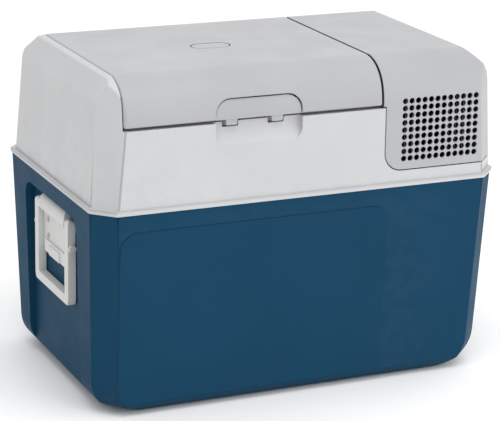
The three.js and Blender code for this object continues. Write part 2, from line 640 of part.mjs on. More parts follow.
function makeBasePlate() {
  const { left, right, front, rear, z, thick, cut, rim } = BASE_PLATE;
  const outline = [
    [left, front], [right - cut, front], [right, front + cut], [right, rear - cut], [right - cut, rear],
    [left, rear],
  ];
  let plate = alongZ(outline, z, z + thick);
  plate = plate.add(block(left, left + thick, front, rear, z, z + rim));
  plate = plate.add(block(right - thick, right, front + cut, rear - cut, z, z + rim));
  for (let i = 0; i < 5; i += 1) {
    plate = plate.subtract(block(140, 200, -88 + 14 * i, -81 + 14 * i, 0, 20));
  }
  return plate;
}

piece('base_plate', makeBasePlate(), COLOURS.steel, { roughness: 0.4, metalness: 0.9 });

GROMMETS.forEach(([x, y], i) => {
  piece(`compressor_mount_${i + 1}`, disc(9, 0, springTop - GAP - (plateTop + GAP), 'z', 0, 0, 12),
    COLOURS.rubber, { roughness: 0.9, at: [x, y, plateTop + GAP] });
});

function makeCompressor() {
  const { x, y, radius, bottom, top } = COMPRESSOR;
  const waist = (bottom + top) / 2;
  const profile = [
    [0, bottom], ...arc(radius - 22, bottom + 20, 22, 270, 360, 4, 20), [radius, waist - 3],
    [radius + 3, waist - 3], [radius + 3, waist + 3], [radius, waist + 3],
    ...arc(radius - 32, top - 30, 32, 0, 90, 5, 30), [0, top],
  ];
  const can = new THREE.LatheGeometry(profile.map(([u, v]) => new THREE.Vector2(u, v)), 20);
  const feet = joined(...[45, 135].map((angle) => solid(
    barZ(rounded(-82, 82, -12, 12, 10, 10, 2), springTop, bottom + 3)
      .rotateZ(THREE.MathUtils.degToRad(angle)))));
  const shell = solid(can.rotateX(Math.PI / 2)).add(feet);
  return shell.translate([x, y, 0]);
}

piece('compressor', makeCompressor(), COLOURS.darkSteel, { roughness: 0.4, metalness: 0.3 });

const CONTROLLER = { x: [112, 128], y: [70, 140], z: [180, 270] };
function makeController() {
  const { x, y, z } = CONTROLLER;
  const fins = [];
  for (let i = 0; i < 7; i += 1) {
    const start = y[0] + 3 + i * 10;
    fins.push(block(x[1] - 1, x[1] + 10, start, start + 3, z[0] + 4, z[1] - 4));
  }
  return joined(block(...x, ...y, ...z), ...fins);
}
piece('compressor_controller', makeController(), COLOURS.black, { roughness: 0.55 });

piece('power_supply', block(109, 134, -110, -10, 70, 190), COLOURS.steel, { roughness: 0.45, metalness: 0.8 });

const SHELF = {
  left: 131, right: 249, front: -164, rear: -98, z: 291, thick: 2.6, legs: [131, 232], legY: [-138, -112],
  foot: 12,
};
function makeShelf() {
  const { left, right, front, rear, z, thick, foot } = SHELF;
  const stand = SHELF.legs.flatMap((x) => [
    block(x, x + thick, ...SHELF.legY, plateTop + GAP, z + 1),
    block(x + thick - foot, x + thick, ...SHELF.legY, plateTop + GAP, plateTop + GAP + thick),
  ]);
  return joined(block(left, right, front, rear, z, z + thick), ...stand);
}
piece('condenser_stand', makeShelf(), COLOURS.steel, { roughness: 0.4, metalness: 0.9 });

const TUBE_ROWS = [14, 53, 92].map((height) => CONDENSER.bottom + height);

function makeCondenser() {
  const { front, depth, left, right, bottom, top, fins } = CONDENSER;
  const pitch = (right - left - 1.6) / (fins - 1);
  const blades = Array.from({ length: fins }, (_, i) => block(
    left + i * pitch, left + i * pitch + 1.6, front, front + depth, bottom, top));
  const tubes = TUBE_ROWS.map((z) => disc(3.2, left - 4, right + 2, 'x', front + depth / 2, z, 6));
  return joined(...blades, ...tubes);
}
piece('condenser', makeCondenser(), COLOURS.black, { roughness: 0.5, metalness: 0.2 });

function makeShroud() {
  const { front, depth, half, bore, hub } = FAN;
  const frame = alongY(rounded(-half, half, -half, half, 6, 6, 2), 0, depth);
  const hollow = disc(bore, -1, depth + 1, 'y', 0, 0, 28);
  const arms = joined(...[45, 135].map((angle) => solid(
    barY(rectangle(-bore - 2, bore + 2, -2.5, 2.5), depth - 3, depth)
      .rotateY(THREE.MathUtils.degToRad(angle)))));
  const seat = disc(hub, depth - 3, depth, 'y', 0, 0, 20);
  const axle = disc(3, 6, depth - 2, 'y', 0, 0, 10);
  return joined(frame.subtract(hollow), arms, seat, axle);
}

const fanGroup = new THREE.Group();
fanGroup.position.set(FAN.x, FAN.front, FAN.z + 4);
fridge.add(fanGroup);
piece('fan_frame', makeShroud(), COLOURS.black, { roughness: 0.6, parent: fanGroup });

function makeImpeller() {
  const { depth, blade, hub } = FAN;
  const hubSolid = disc(hub, 3, depth - 4, 'y', 0, 0, 20);
  const count = 7;
  const blades = Array.from({ length: count }, (_, i) => solid(
    barZ([[-13, -8], [-9, -8], [13, 4], [13, 7], [9, 7], [-13, -5]], hub - 2, blade)
      .translate(0, depth / 2 - 1, 0).rotateY((2 * Math.PI * i) / count)));
  return joined(hubSolid, ...blades).subtract(disc(3 + GAP, 5, depth, 'y', 0, 0, 10));
}
piece('fan_impeller', makeImpeller(), COLOURS.rubber, { roughness: 0.6, parent: fanGroup });

function makeDrier() {
  const profile = [[0, 0], [3, 0], [3, 14], [10, 24], [10, 90], [3, 100], [3, 112], [0, 112]];
  const lathe = new THREE.LatheGeometry(profile.map(([u, v]) => new THREE.Vector2(u, v)), 14);
  return solid(lathe.rotateX(Math.PI / 2));
}
const DRIER = [236, 118, 150];
piece('filter_drier', makeDrier(), COLOURS.copper, { roughness: 0.35, metalness: 0.95, at: DRIER });

const condenserEnd = CONDENSER.right + 3;
const condenserMiddle = CONDENSER.front + CONDENSER.depth / 2;
const outerLane = 259; // the pipes run between the fan frame and the end wall
piece('discharge_pipe', tube([
  [232, 30, 172], [240, 10, 215], [256, -30, 262], [outerLane, -70, 305], [outerLane, -110, 350],
  [outerLane, -138, TUBE_ROWS[2] - 6], [condenserEnd + 6, condenserMiddle, TUBE_ROWS[2]],
  [condenserEnd, condenserMiddle, TUBE_ROWS[2]],
], 3), COLOURS.copper, { roughness: 0.35, metalness: 0.95 });
piece('liquid_pipe', tube([
  [condenserEnd, condenserMiddle, TUBE_ROWS[0]], [condenserEnd + 6, condenserMiddle, TUBE_ROWS[0]],
  [outerLane, -130, 294], [outerLane, -100, 268], [258, -40, 236], [252, 40, 240], [240, 104, 272],
  [DRIER[0], DRIER[1], 280], [DRIER[0], DRIER[1], 262.6],
], 2.4, 20), COLOURS.copper, { roughness: 0.35, metalness: 0.95 });
piece('suction_pipe', tube([
  [PARTITION.x + 0.2, SUCTION.y, SUCTION.z], [112, SUCTION.y, SUCTION.z], [134, 60, 278], [150, 62, 256],
  [157, 66, 225], [164, 70, 190], [168, 70, 166],
], 3.6), COLOURS.copper, { roughness: 0.35, metalness: 0.95 });

// ---------------------------------------------------------------- power sockets

const socketAt = (x) => [x, SOCKETS.plateY, SOCKETS.z];

function makeSocketPlate() {
  const { left, right, bottom, top, plateY, z } = SOCKETS;
  const plate = block(left - 5, right + 5, plateY, plateY + 3, bottom - 5, top + 5);
  return plate
    .subtract(disc(9 + GAP, 100, FAR, 'y', SOCKET_X.dc, z, 14))
    .subtract(block(SOCKET_X.ac - 12 - GAP, SOCKET_X.ac + 12 + GAP, 100, FAR, z - 9 - GAP, z + 9 + GAP))
    .subtract(disc(6 + GAP, 100, FAR, 'y', SOCKET_X.fuse, z, 12));
}

function makeDcSocket() {
  const barrel = disc(9, -22, 4, 'y', 0, 0, 14).subtract(disc(6, -14, 10, 'y', 0, 0, 14));
  return barrel.add(disc(1.6, -16, -12, 'y', 0, 0, 8));
}

function makeAcInlet() {
  const body = block(-12, 12, -20, 4, -9, 9).subtract(block(-9, 9, -12, 10, -6, 6));
  return joined(body, ...[-4, 4].map((x) => disc(1.5, -14, -4, 'y', x, 0, 8)));
}

const darkPlastic = { roughness: 0.45 };
piece('socket_plate', makeSocketPlate(), COLOURS.black, darkPlastic);
piece('dc_socket', makeDcSocket(), COLOURS.black, { ...darkPlastic, at: socketAt(SOCKET_X.dc) });
piece('ac_inlet', makeAcInlet(), COLOURS.black, { ...darkPlastic, at: socketAt(SOCKET_X.ac) });
piece('fuse_cap', disc(6, -18, 4, 'y', 0, 0, 12).subtract(block(-4, 4, 3, 10, -0.8, 0.8)),
  COLOURS.black, { ...darkPlastic, at: socketAt(SOCKET_X.fuse) });

// ---------------------------------------------------------------- handles

function makeHandle() {
  const { pivotX, pivotZ, thick, halfY, bottom, bar, pivotBar, corner, edge, stop } = HANDLE;
  const half = thick / 2;
  const sideView = rounded(-halfY, halfY, bottom, pivotZ + half, corner, half);
  const endView = [
    [pivotX - half + edge, bottom], [pivotX + half - edge, bottom], [pivotX + half, bottom + edge],
    ...arc(pivotX, pivotZ, half, 0, 180, 6), [pivotX - half, bottom + edge],
  ];
  const bow = alongY(endView, -halfY, halfY).intersect(alongX(sideView, -FAR, 0));
  const window = block(-FAR, 0, bar - halfY, halfY - bar, bottom + bar, FAR);
  const stops = disc(stop.radius, -halfY - stop.proud, halfY + stop.proud, 'y', pivotX, stop.z, 12);
  const pivot = disc(pivotBar, bar - halfY - 1, halfY - bar + 1, 'y', pivotX, pivotZ, 14);
  return joined(bow.subtract(window), stops.subtract(window), pivot);
}

function makeBracket() {
  const { halfY, bottom, top, plate, bottomCorner, frontCorner, rearCorner, roof, lip, tongue } = BRACKET;
  const back = -RECESS.floor - GAP;
  const roofView = [
    ...arc(back, roof.eaves, roof.reach, 90, 180, 8, top - roof.eaves),
    ...roof.under.map(([reach, z]) => [back - reach, z]), [back, roof.under[1][1]],
  ];
  const outline = [
    ...arc(bottomCorner - halfY, bottom + bottomCorner, bottomCorner, 180, 270, 4),
    ...arc(halfY - bottomCorner, bottom + bottomCorner, bottomCorner, 270, 360, 4),
    ...arc(halfY - rearCorner, top - rearCorner, rearCorner, 0, 90, 3),
    ...arc(frontCorner - halfY, top - frontCorner, frontCorner, 90, 180, 6),
  ];
  const shelf = ({ halfY: half, top: shelfTop, thick }) => block(
    back - thick, back, -half, half, bottom, shelfTop);
  let bracket = joined(block(back - plate, back, -halfY, halfY, bottom, roof.eaves),
    alongY(roofView, -halfY, halfY), shelf(lip), shelf(tongue)).intersect(alongX(outline, -FAR, 0));
  const { pivotX, pivotZ, pivotBar } = HANDLE;
  bracket = bracket.subtract(disc(pivotBar + GAP, -FAR, FAR, 'y', pivotX, pivotZ, 14));
  for (const z of HANDLE_SCREWS.z) {
    bracket = bracket.subtract(disc(HANDLE_SCREWS.hole, -FAR, 0, 'x', HANDLE_SCREWS.y, z, 8));
  }
  return bracket;
}

for (const [side, turn] of [['left', 0], ['right', Math.PI]]) {
  const end = new THREE.Group();
  end.rotation.z = turn;
  fridge.add(end);
  const there = { parent: end };
  piece(`handle_bracket_${side}`, makeBracket(), COLOURS.handle, { roughness: 0.5, ...there });
  piece(`handle_${side}`, makeHandle(), COLOURS.handle, { roughness: 0.5, ...there });
  HANDLE_SCREWS.z.forEach((z, i) => {
    const screw = disc(HANDLE_SCREWS.head, -2, 0, 'x', 0, 0, 10).add(disc(1.9, -1, 7.4, 'x', 0, 0, 8));
    piece(`handle_screw_${side}_${i + 1}`, screw, COLOURS.steel, {
      roughness: 0.35, metalness: 0.9, ...there,
      at: [-RECESS.floor - BRACKET.plate - 2 * GAP, HANDLE_SCREWS.y, z],
    });
  });
}

export default fridge;
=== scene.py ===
"""Looks of a portable compressor cooler fridge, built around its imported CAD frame.

Each moulded shell starts as its CAD solid, is rounded by a smooth outer form worked out from the same
solids, gets its finer features cut or added, and has every remaining edge softened. The parts inside
keep their CAD shape, with softened edges and their own materials. Metres, in the frame's axes.
"""

import json
import math

import bmesh
import bpy
from mathutils import Matrix, Vector


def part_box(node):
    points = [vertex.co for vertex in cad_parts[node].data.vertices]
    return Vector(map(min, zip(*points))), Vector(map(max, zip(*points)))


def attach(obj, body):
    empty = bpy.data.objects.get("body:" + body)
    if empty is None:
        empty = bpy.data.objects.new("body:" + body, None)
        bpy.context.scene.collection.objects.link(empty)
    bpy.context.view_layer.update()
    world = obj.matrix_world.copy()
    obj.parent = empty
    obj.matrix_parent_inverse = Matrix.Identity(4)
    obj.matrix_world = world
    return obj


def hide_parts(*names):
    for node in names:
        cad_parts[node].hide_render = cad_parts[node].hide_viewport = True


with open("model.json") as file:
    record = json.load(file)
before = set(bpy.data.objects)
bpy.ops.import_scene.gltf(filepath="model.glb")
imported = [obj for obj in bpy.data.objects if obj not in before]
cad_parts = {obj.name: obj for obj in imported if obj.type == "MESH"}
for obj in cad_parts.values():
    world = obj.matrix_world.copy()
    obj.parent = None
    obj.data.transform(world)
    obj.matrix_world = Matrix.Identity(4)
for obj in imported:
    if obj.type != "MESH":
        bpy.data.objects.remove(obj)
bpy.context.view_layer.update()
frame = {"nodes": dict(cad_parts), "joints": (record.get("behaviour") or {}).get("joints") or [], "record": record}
SCENE = bpy.context.scene
MM = 0.001
FAR = 1.0  # further out than any face, for cutting shapes
Y, Z = Vector((0, 1, 0)), Vector((0, 0, 1))

WELD = 0.002 * MM  # points closer than this are one point
FLAT_ANGLE = math.radians(0.3)  # faces that meet at less than this are one flat area
SHAVE = 0.02 * MM  # rounded forms sit this far inside the CAD faces, so that no two faces coincide


# ---------------------------------------------------------------- meshes


def as_object(bm, name):
    """A new object from a bmesh, which is freed."""
    bmesh.ops.recalc_face_normals(bm, faces=bm.faces[:])
    mesh = bpy.data.meshes.new(name)
    bm.to_mesh(mesh)
    bm.free()
    obj = bpy.data.objects.new(name, mesh)
    SCENE.collection.objects.link(obj)
    return obj


def tidied(bm, spare=lambda face: False, weld=WELD):
    """Joins split points and makes each flat area one face, apart from faces to be spared."""
    bmesh.ops.remove_doubles(bm, verts=bm.verts[:], dist=weld)
    bmesh.ops.dissolve_degenerate(bm, edges=bm.edges[:], dist=weld)
    bm.normal_update()
    edges = [e for e in bm.edges if not any(spare(face) for face in e.link_faces)]
    corners = [v for v in bm.verts if not any(spare(face) for face in v.link_faces)]
    bmesh.ops.dissolve_limit(bm, angle_limit=FLAT_ANGLE, verts=corners, edges=edges)


def cleaned(obj, **options):
    """Tidies what a boolean leaves behind."""
    bm = bmesh.new()
    bm.from_mesh(obj.data)
    tidied(bm, **options)
    bm.to_mesh(obj.data)
    bm.free()
    return obj


def cad_copy(node, name):
    """A new object with the solid of a CAD node."""
    bm = bmesh.new()
    bm.from_mesh(frame["nodes"][node].data)
    tidied(bm)
    return as_object(bm, name)


def applied(obj):
    """Makes the object's modifiers part of its mesh."""
    depsgraph = bpy.context.evaluated_depsgraph_get()
    mesh = bpy.data.meshes.new_from_object(obj.evaluated_get(depsgraph))
    obj.modifiers.clear()
    old, obj.data = obj.data, mesh
    bpy.data.meshes.remove(old)
    return obj


def combine(obj, other, operation):
    """Boolean of two solids; the second is used up."""
    modifier = obj.modifiers.new("boolean", "BOOLEAN")
    modifier.operation = operation
    modifier.solver = "MANIFOLD"
    modifier.object = other
    applied(obj)
    bpy.data.objects.remove(other)
    return obj


def cut(obj, other):
    return combine(obj, other, "DIFFERENCE")


def join(obj, other):
    return combine(obj, other, "UNION")


def add_rings(bm, rings):
    """Adds a solid through rings of as many points each, closed at both ends."""
    loops = [[bm.verts.new(point) for point in ring] for ring in rings]
    bm.faces.new(loops[0])
    bm.faces.new(loops[-1])
    for near, far in zip(loops, loops[1:]):
        for i, point in enumerate(near):
            after = (i + 1) % len(near)
            bm.faces.new((point, near[after], far[after], far[i]))


def ring_solid(rings, name):
    bm = bmesh.new()
    add_rings(bm, rings)
    return as_object(bm, name)


def prism(outline, start, end, axis="Z"):
    """A solid with an outline in the plane across an axis, between two places on it.

    The outline is in YZ for the X axis, XZ for Y, and XY for Z."""
    place = {
        "X": lambda u, v, w: (w, u, v),
        "Y": lambda u, v, w: (u, w, v),
        "Z": lambda u, v, w: (u, v, w),
    }[axis]
    return ring_solid([[place(u, v, w) for u, v in outline] for w in (start, end)], "prism")


def arc(u, v, radius, start, end, steps):
    angles = [math.radians(start + (end - start) * i / steps) for i in range(steps + 1)]
    return [(u + radius * math.cos(a), v + radius * math.sin(a)) for a in angles]


def circle(u, v, radius, sides):
    return arc(u, v, radius, 0, 360 - 360 / sides, sides - 1)


def rounded(left, right, bottom, top, low, high, steps=8):
    """A rectangle with rounded corners: one radius for the lower pair, one for the upper pair."""
    points = []
    for u, v, radius, start in (
        (left + low, bottom + low, low, 180),
        (right - low, bottom + low, low, 270),
        (right - high, top - high, high, 0),
        (left + high, top - high, high, 90),
    ):
        points += arc(u, v, radius, start, start + 90, steps)
    return points


def rectangle(left, right, bottom, top):
    return [(left, bottom), (right, bottom), (right, top), (left, top)]


# ---------------------------------------------------------------- rounded outer forms

SAME_PLANE = 0.05 * MM  # faces whose points lie closer than this to a plane count as part of it
LEVEL = 0.999  # how nearly upright a normal is on a level face


def outer_planes(*nodes, keep=lambda point: True, mirrored=False):
    """The planes (normal, distance) of the convex hull of CAD nodes, the largest faces first."""
    bm = bmesh.new()
    for node in nodes:
        for vertex in frame["nodes"][node].data.vertices:
            if keep(vertex.co):
                bm.verts.new(vertex.co)
                if mirrored:
                    bm.verts.new((vertex.co.x, -vertex.co.y, vertex.co.z))
    bmesh.ops.convex_hull(bm, input=bm.verts[:])
    bm.normal_update()
    planes = []
    for face in sorted(bm.faces, key=lambda f: -f.calc_area()):
        known = any(
            all(abs(normal.dot(v.co) - distance) < SAME_PLANE for v in face.verts)
            for normal, distance in planes
        )
        if not known:
            normal = face.normal.copy()
            planes.append((normal, normal.dot(face.verts[0].co)))
    bm.free()
    return planes


def moved(planes, inwards):
    return [(normal, distance - inwards) for normal, distance in planes]


def open_above(planes, height=20 * MM):
    """The same planes, with the level top moved up, so that the top edge isn't rounded."""
    return [(n, d + height if n.z > LEVEL else d) for n, d in planes]


def open_below(planes, height=20 * MM):
    """The same planes, with the level bottom moved down, so that the bottom edge isn't rounded."""
    return [(n, d + height if n.z < -LEVEL else d) for n, d in planes]


def core(planes):
    """A bmesh of the convex solid inside some planes."""
    bm = bmesh.new()
    bmesh.ops.create_cube(bm, size=2 * FAR)
    for normal, distance in planes:
        everything = bm.verts[:] + bm.edges[:] + bm.faces[:]
        result = bmesh.ops.bisect_plane(
            bm, geom=everything, dist=1e-7, plane_co=normal * distance, plane_no=normal,
            clear_outer=True,
        )
        rim = [e for e in result["geom_cut"] if isinstance(e, bmesh.types.BMEdge)]
        if rim:
            bmesh.ops.contextual_create(bm, geom=rim)
    bmesh.ops.remove_doubles(bm, verts=bm.verts[:], dist=5 * WELD)
    bmesh.ops.recalc_face_normals(bm, faces=bm.faces[:])
    bm.normal_update()
    return bm


def rounded_form(planes, radius, step=9):
    """The convex solid inside some planes, with every edge and corner rounded to one radius.

    It is the hull of pieces of a sphere placed on the corners of a smaller solid, with a point
    every few degrees."""
    inner = core(moved(planes, radius))
    bm = bmesh.new()
    for vertex in inner.verts:
        for edge in vertex.link_edges:
            a, b = (face.normal for face in edge.link_faces)
            steps = max(1, round(math.degrees(a.angle(b)) / step))
            for i in range(steps + 1):
                bm.verts.new(vertex.co + radius * a.slerp(b, i / steps))
        middle = sum((face.normal for face in vertex.link_faces), Vector()).normalized()
        bm.verts.new(vertex.co + radius * middle)
    inner.free()
    bmesh.ops.remove_doubles(bm, verts=bm.verts[:], dist=2.5 * WELD)
    result = bmesh.ops.convex_hull(bm, input=bm.verts[:])
    spare = [g for g in result["geom_interior"] if isinstance(g, bmesh.types.BMVert)]
    bmesh.ops.delete(bm, geom=spare, context="VERTS")
    bmesh.ops.dissolve_limit(bm, angle_limit=FLAT_ANGLE, verts=bm.verts[:], edges=bm.edges[:])
    return as_object(bm, "form")


# ---------------------------------------------------------------- softened edges

CREST_ANGLE = math.radians(30)  # edges that stick out more sharply than this get rubbed
BEVEL_ANGLE = math.radians(32)  # edges sharper than this are rounded


def edge_wear():
    """Geometry nodes that shade smooth and mark the crest of each rounded edge.

    The mark is the attribute "wear", which the materials read."""
    group = bpy.data.node_groups.new("edge_wear", "GeometryNodeTree")
    for way in ("INPUT", "OUTPUT"):
        group.interface.new_socket("Geometry", in_out=way, socket_type="NodeSocketGeometry")
    start, end, smooth, angle, crest, store = (
        group.nodes.new(kind)
        for kind in (
            "NodeGroupInput", "NodeGroupOutput", "GeometryNodeSetShadeSmooth",
            "GeometryNodeInputMeshEdgeAngle", "FunctionNodeCompare", "GeometryNodeStoreNamedAttribute",
        )
    )
    crest.operation = "LESS_THAN"
    crest.inputs["B"].default_value = -CREST_ANGLE
    store.data_type = "FLOAT"
    store.domain = "POINT"
    store.inputs["Name"].default_value = "wear"
    link = group.links.new
    link(angle.outputs["Signed Angle"], crest.inputs["A"])
    link(crest.outputs["Result"], store.inputs["Value"])
    link(start.outputs["Geometry"], smooth.inputs["Geometry"])
    link(smooth.outputs["Geometry"], store.inputs["Geometry"])
    link(store.outputs["Geometry"], end.inputs["Geometry"])
    return group


EDGE_WEAR = edge_wear()


def bevelled(obj, width):
    bevel = obj.modifiers.new("edges", "BEVEL")
    bevel.width = width
    bevel.segments = 2
    bevel.limit_method = "ANGLE"
    bevel.angle_limit = BEVEL_ANGLE
    bevel.use_clamp_overlap = True
    return obj


def shaded(obj, keep_sharp=False):
    """Shades smooth, with large faces setting the normals, and marks the rubbed crests."""
    obj.modifiers.new("wear", "NODES").node_group = EDGE_WEAR
    weighted = obj.modifiers.new("normals", "WEIGHTED_NORMAL")
    weighted.weight = 80
    weighted.keep_sharp = keep_sharp
    return obj


def softened(obj, width):
    return shaded(bevelled(obj, width))


# ---------------------------------------------------------------- materials


class Finish:
    """A procedural material under construction: colour, roughness and bump come from its nodes."""

    def __init__(self, name, metallic=0.0, specular=0.5, coat=0.0):
        self.material = bpy.data.materials.new(name)
        self.material.use_nodes = True
        self.tree = self.material.node_tree
        self.shader = self.tree.nodes["Principled BSDF"]
        self.shader.inputs["Metallic"].default_value = metallic
        self.shader.inputs["Specular IOR Level"].default_value = specular
        self.shader.inputs["Coat Weight"].default_value = coat
        self.shader.inputs["Coat Roughness"].default_value = 0.1
        self.place = self.node("ShaderNodeTexCoord").outputs["Object"]

    def node(self, kind, **inputs):
        node = self.tree.nodes.new(kind)
        for name, value in inputs.items():
            self.set(node.inputs[name], value)
        return node

    def set(self, socket, value):
        if isinstance(value, bpy.types.NodeSocket):
            self.tree.links.new(value, socket)
        else:
            socket.default_value = value

    def stretched(self, scale):
        """The place on the object, squeezed along its axes, for grain that runs one way."""
        return self.node("ShaderNodeMapping", Vector=self.place, Scale=scale).outputs["Vector"]

    def noise(self, size, detail=2.0, place=None):
        """Noise with features of about one size, in metres."""
        node = self.node(
            "ShaderNodeTexNoise", Vector=place or self.place, Scale=1 / size, Detail=detail
        )
        return node.outputs["Fac"]

    def ranged(self, value, low, high, start=0.3, end=0.7):
        """The value, stretched so that start becomes low and end becomes high."""
        node = self.tree.nodes.new("ShaderNodeMapRange")
        for index, item in enumerate((value, start, end, low, high)):
            self.set(node.inputs[index], item)
        return node.outputs["Result"]

    def product(self, a, b):
        node = self.tree.nodes.new("ShaderNodeMath")
        node.operation = "MULTIPLY"
        self.set(node.inputs[0], a)
        self.set(node.inputs[1], b)
        return node.outputs["Value"]

    def mixed(self, amount, a, b):
        """Colour a where the amount is 0, and colour b where it is 1."""
        node = self.tree.nodes.new("ShaderNodeMix")
        node.data_type = "RGBA"
        self.set(node.inputs["Factor"], amount)
        for name, value in (("A", a), ("B", b)):
            socket = next(s for s in node.inputs if s.name == name and s.type == "RGBA")
            self.set(socket, value)
        return next(s for s in node.outputs if s.type == "RGBA")

    def bump(self, *layers):
        """Surface relief from several (height, depth in metres) layers."""
        normal = None
        for height, depth in layers:
            node = self.node("ShaderNodeBump", Height=height, Distance=depth, Strength=1.0)
            if normal:
                self.tree.links.new(normal, node.inputs["Normal"])
            normal = node.outputs["Normal"]
        self.tree.links.new(normal, self.shader.inputs["Normal"])

    def crests(self):
        """Where a rounded edge is rubbed: broken up along its length."""
        rubbed = self.node("ShaderNodeAttribute")
        rubbed.attribute_name = "wear"
        patches = self.ranged(self.noise(18 * MM, 3), 0.15, 1, 0.42, 0.62)
        return self.product(rubbed.outputs["Fac"], patches)

    def done(self, colour, roughness):
        self.set(self.shader.inputs["Base Color"], colour)
        self.set(self.shader.inputs["Roughness"], roughness)
        return self.material


def tinted(colour, factor):
    return (*(min(1.0, c * factor) for c in colour), 1)


def moulded(
    name, colour, roughness, specular=0.5, worn=0.35, grain=0.9 * MM, relief=0.012 * MM, coat=0.0
):
    """Moulded plastic: faint flow tones, fine mould texture, rubbed edges and small handling marks."""
    finish = Finish(name, specular=specular, coat=coat)
    flow = finish.ranged(finish.noise(110 * MM, 3), 0, 1)
    tone = finish.mixed(flow, tinted(colour, 0.965), tinted(colour, 1.035))
    specks = finish.ranged(finish.noise(1.6 * MM, 1), 0, 0.12, 0.6, 0.75)
    tone = finish.mixed(specks, tone, tinted(colour, 0.8))
    pale = tuple(c + (1 - c) * worn * 0.4 for c in colour)
    tone = finish.mixed(finish.product(finish.crests(), worn), tone, (*pale, 1))

    smudges = finish.ranged(finish.noise(45 * MM, 4), roughness - 0.05, roughness + 0.06)
    strokes = finish.noise(20 * MM, 4, finish.stretched((0.15, 1, 2.2)))
    scuffs = finish.ranged(strokes, 0, 0.25, 0.62, 0.7)
    gloss = finish.mixed(scuffs, smudges, (*(roughness + 0.15,) * 3, 1))

    sink_marks = finish.noise(30 * MM, 2)
    finish.bump((finish.noise(grain, 2), relief), (sink_marks, 0.015 * MM))
    return finish.done(tone, gloss)


def metal(name, colour, roughness, direction=(1, 1, 1), tarnish=0.85):
    """Metal with a drawn or rolled grain, uneven gloss and darker tarnished patches."""
    finish = Finish(name, metallic=1.0)
    lines = finish.noise(0.6 * MM, 3, finish.stretched(direction))
    patches = finish.ranged(finish.noise(20 * MM, 4), 0, 1, 0.35, 0.7)
    tone = finish.mixed(patches, tinted(colour, 1.0), tinted(colour, tarnish))
    tone = finish.mixed(finish.product(finish.crests(), 0.4), tone, tinted(colour, 1.25))
    gloss = finish.ranged(lines, roughness - 0.08, roughness + 0.12)
    dents = finish.noise(15 * MM, 2)
    finish.bump((lines, 0.008 * MM), (dents, 0.05 * MM))
    return finish.done(tone, gloss)


def foamed(name, colour):
    """Open-celled foam: a pitted surface, with painted shade darkening each pit."""
    finish = Finish(name, specular=0.2)
    cell_size = 2.5 * MM
    voronoi = finish.node("ShaderNodeTexVoronoi", Vector=finish.place, Scale=1 / cell_size)
    cells = voronoi.outputs["Distance"]
    pit_shade = finish.ranged(cells, 0, 1, 0.15, 0.6)
    # painted shade: each pit is darker towards its middle
    tone = finish.mixed(pit_shade, tinted(colour, 0.7), tinted(colour, 1.05))
    tone = finish.mixed(finish.ranged(finish.noise(50 * MM, 3), 0, 0.4), tone, tinted(colour, 0.85))
    lumps = finish.noise(10 * MM, 3)
    finish.bump((cells, 0.6 * MM), (lumps, 0.4 * MM))
    return finish.done(tone, finish.ranged(cells, 0.85, 1.0, 0, 0.6))


def rubbery(name, colour):
    """Matt rubber with a chalky bloom and a fine pebbled skin."""
    finish = Finish(name, specular=0.3)
    bloom = finish.ranged(finish.noise(12 * MM, 4), 0, 0.35, 0.45, 0.75)
    tone = finish.mixed(bloom, tinted(colour, 1.0), tinted(colour, 2.6))
    tone = finish.mixed(finish.product(finish.crests(), 0.5), tone, tinted(colour, 4.0))
    pebbles, waves = finish.noise(0.7 * MM, 2), finish.noise(8 * MM, 2)
    finish.bump((pebbles, 0.05 * MM), (waves, 0.08 * MM))
    return finish.done(tone, finish.ranged(finish.noise(10 * MM, 3), 0.72, 0.94))


def circuit(name, colour):
    """Circuit board: lacquered green with paler tracks and tinned pads."""
    finish = Finish(name, coat=0.4)
    tracks = finish.node(
        "ShaderNodeTexBrick", Vector=finish.stretched((1, 1, 0)), Scale=180.0,
        Color1=tinted(colour, 1.0), Color2=tinted(colour, 1.5), Mortar=tinted(colour, 0.5),
    )
    pads = finish.ranged(finish.noise(3 * MM, 0), 0, 1, 0.62, 0.66)
    tone = finish.mixed(pads, tracks.outputs["Color"], (0.6, 0.6, 0.62, 1))
    finish.bump((tracks.outputs["Fac"], 0.05 * MM), (pads, 0.1 * MM))
    return finish.done(tone, finish.ranged(finish.noise(5 * MM, 3), 0.3, 0.5))


BLUE = (0.009, 0.049, 0.097)
HOUSING_GREY = (0.485, 0.489, 0.497)
LID_GREY = (0.366, 0.37, 0.384)
HANDLE_GREY = (0.58, 0.58, 0.57)
BLACK = (0.014, 0.014, 0.016)

MATERIALS = {
    "tub_blue": moulded("tub_blue", BLUE, 0.42, specular=0.03, worn=0.12),
    "housing_grey": moulded("housing_grey", HOUSING_GREY, 0.42, specular=0.4),
    "cover_grey": moulded("lid_grey", LID_GREY, 0.42, specular=0.4),
    "handle_grey": moulded("handle_grey", HANDLE_GREY, 0.45, specular=0.4),
    "liner_white": moulded("liner_white", (0.72, 0.73, 0.72), 0.3, relief=0.005 * MM),
    "foam": foamed("foam", (0.76, 0.68, 0.46)),
    "rubber_black": rubbery("rubber_black", BLACK),
    "steel": metal("steel", (0.55, 0.56, 0.58), 0.32, (1, 8, 8)),
    "compressor_black": moulded("black_enamel", BLACK, 0.3, coat=0.5, grain=2.5 * MM, relief=0.06 * MM),
    "copper": metal("copper", (0.72, 0.34, 0.2), 0.28, (6, 6, 1), 0.6),
    "aluminium": metal("aluminium", (0.72, 0.73, 0.75), 0.36, (1, 1, 9)),
    "black_plastic": moulded("black_plastic", BLACK, 0.5, worn=0.1, relief=0.03 * MM),
    "display_lens": moulded("display_lens", (0.004, 0.006, 0.008), 0.14, coat=0.8, relief=0.001 * MM),
    "board_green": circuit("board_green", (0.015, 0.11, 0.05)),
    "button_grey": moulded("button_grey", (0.46, 0.465, 0.48), 0.4),
    "light_lens": moulded("light_lens", (0.86, 0.87, 0.86), 0.22, coat=0.3, relief=0.02 * MM),
}
